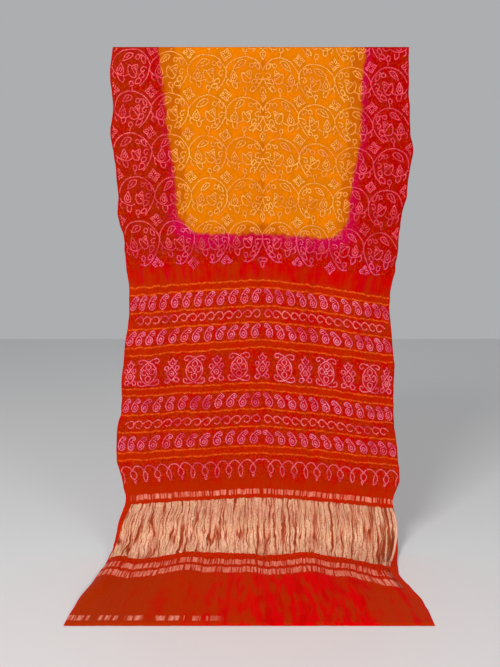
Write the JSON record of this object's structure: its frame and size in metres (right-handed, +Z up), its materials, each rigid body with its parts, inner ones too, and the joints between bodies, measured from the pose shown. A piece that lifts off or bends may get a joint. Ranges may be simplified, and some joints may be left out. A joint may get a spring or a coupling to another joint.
{
  "type": "bandhani cloth, hung from its top edge with its end lying on the floor",
  "caption": "Tie-dyed silk cloth that hangs flat from its top edge, bends where it meets the floor and lies forward along it, with a pleated metallic band near its end.",
  "frame": {"origin": "middle of the cloth's top edge, on the crease that runs down the middle", "axes": "+X to the viewer's right along the top edge, +Y away from the viewer, +Z up the hanging cloth"},
  "size_m": [1.1235, 0.5528, 1.793],
  "materials": {
    "dyed_silk": "crinkled silk satin, soft sheen, tie-dyed in reds and orange, with a woven metallic band"
  },
  "bodies": {
    "root": {"bandhani_cloth": "dyed_silk"}
  },
  "joints": []
}
